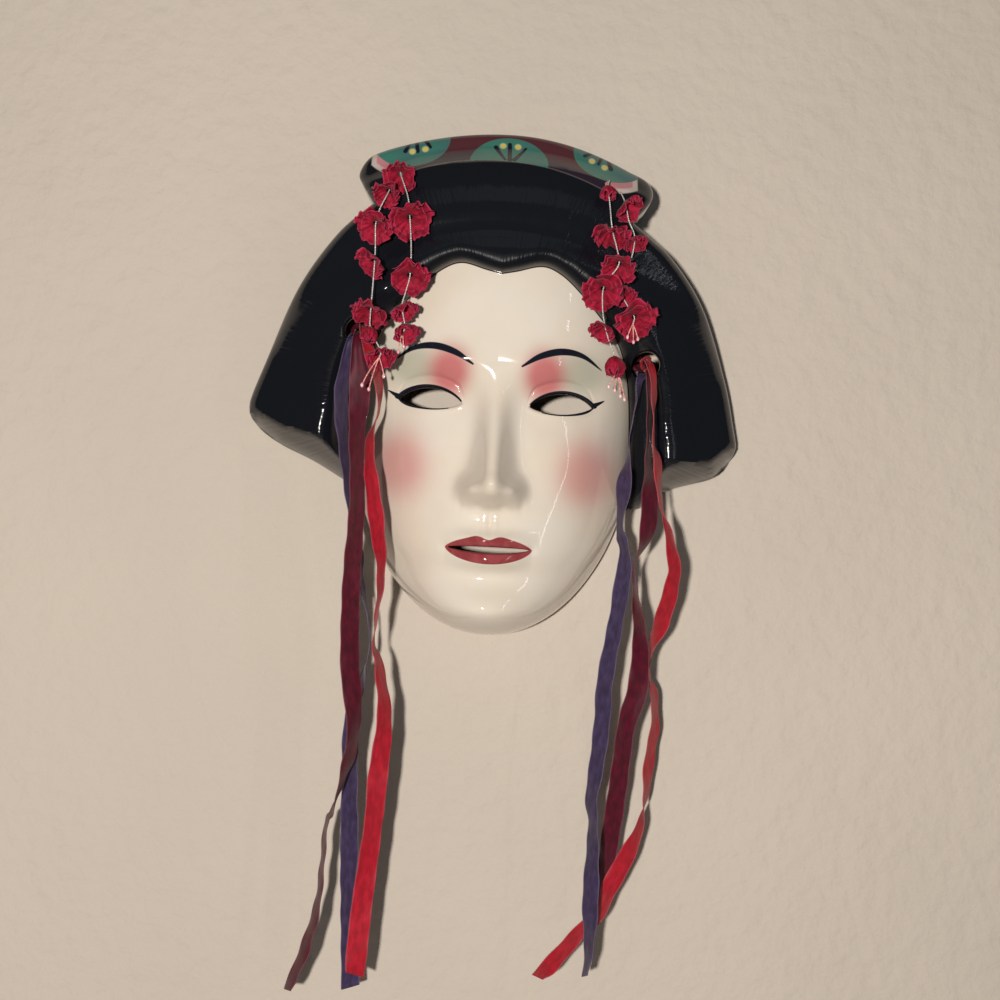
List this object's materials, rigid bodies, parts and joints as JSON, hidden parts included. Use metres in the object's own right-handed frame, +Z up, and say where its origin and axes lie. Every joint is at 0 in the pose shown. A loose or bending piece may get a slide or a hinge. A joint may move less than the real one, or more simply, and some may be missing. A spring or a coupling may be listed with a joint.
{
  "type": "geisha wall mask",
  "caption": "Hollow glazed ceramic wall mask of a geisha with a black coiffure, eye and mouth openings, satin ribbons and threads of fabric blossoms.",
  "frame": {"origin": "hanging point: on the flat back of the mask, on the middle of the plate inside the top rim, just above the nail hole", "axes": "+Z up, +Y out of the flat back into the wall, so the face looks along -Y, +X to the viewer's right"},
  "size_m": [0.2407, 0.0802, 0.4199],
  "materials": {
    "glazed_ceramic": "hand painted under a clear gloss glaze: ivory face, black hair, teal and plum band",
    "violet_satin": "satin ribbon with woven edges",
    "burgundy_satin": "satin ribbon with woven edges",
    "red_satin": "satin ribbon with woven edges",
    "silver_thread": "twisted silvery cord",
    "crimson_blossom": "thin woven fabric with a frayed edge",
    "pink_stamens": "stiffened thread with pearly tips"
  },
  "bodies": {
    "root": {"mask_shell": "glazed_ceramic", "ribbon_left_violet": "violet_satin", "ribbon_left_burgundy": "burgundy_satin", "ribbon_left_red": "red_satin", "ribbon_right_violet": "violet_satin", "ribbon_right_burgundy": "burgundy_satin", "ribbon_right_red": "red_satin", "knot_left": "burgundy_satin", "knot_right": "burgundy_satin", "thread_left_inner": "silver_thread", "blossom_left_inner_1": "crimson_blossom", "blossom_left_inner_2": "crimson_blossom", "blossom_left_inner_3": "crimson_blossom", "blossom_left_inner_4": "crimson_blossom", "blossom_left_inner_5": "crimson_blossom", "stamens_left_inner": "pink_stamens", "thread_left_outer": "silver_thread", "blossom_left_outer_1": "crimson_blossom", "blossom_left_outer_2": "crimson_blossom", "blossom_left_outer_3": "crimson_blossom", "blossom_left_outer_4": "crimson_blossom", "blossom_left_outer_5": "crimson_blossom", "blossom_left_outer_6": "crimson_blossom", "stamens_left_outer": "pink_stamens", "thread_right_inner": "silver_thread", "blossom_right_inner_1": "crimson_blossom", "blossom_right_inner_2": "crimson_blossom", "blossom_right_inner_3": "crimson_blossom", "blossom_right_inner_4": "crimson_blossom", "blossom_right_inner_5": "crimson_blossom", "blossom_right_inner_6": "crimson_blossom", "stamens_right_inner": "pink_stamens", "thread_right_outer": "silver_thread", "blossom_right_outer_1": "crimson_blossom", "blossom_right_outer_2": "crimson_blossom", "blossom_right_outer_3": "crimson_blossom", "blossom_right_outer_4": "crimson_blossom", "stamens_right_outer": "pink_stamens"}
  },
  "joints": []
}
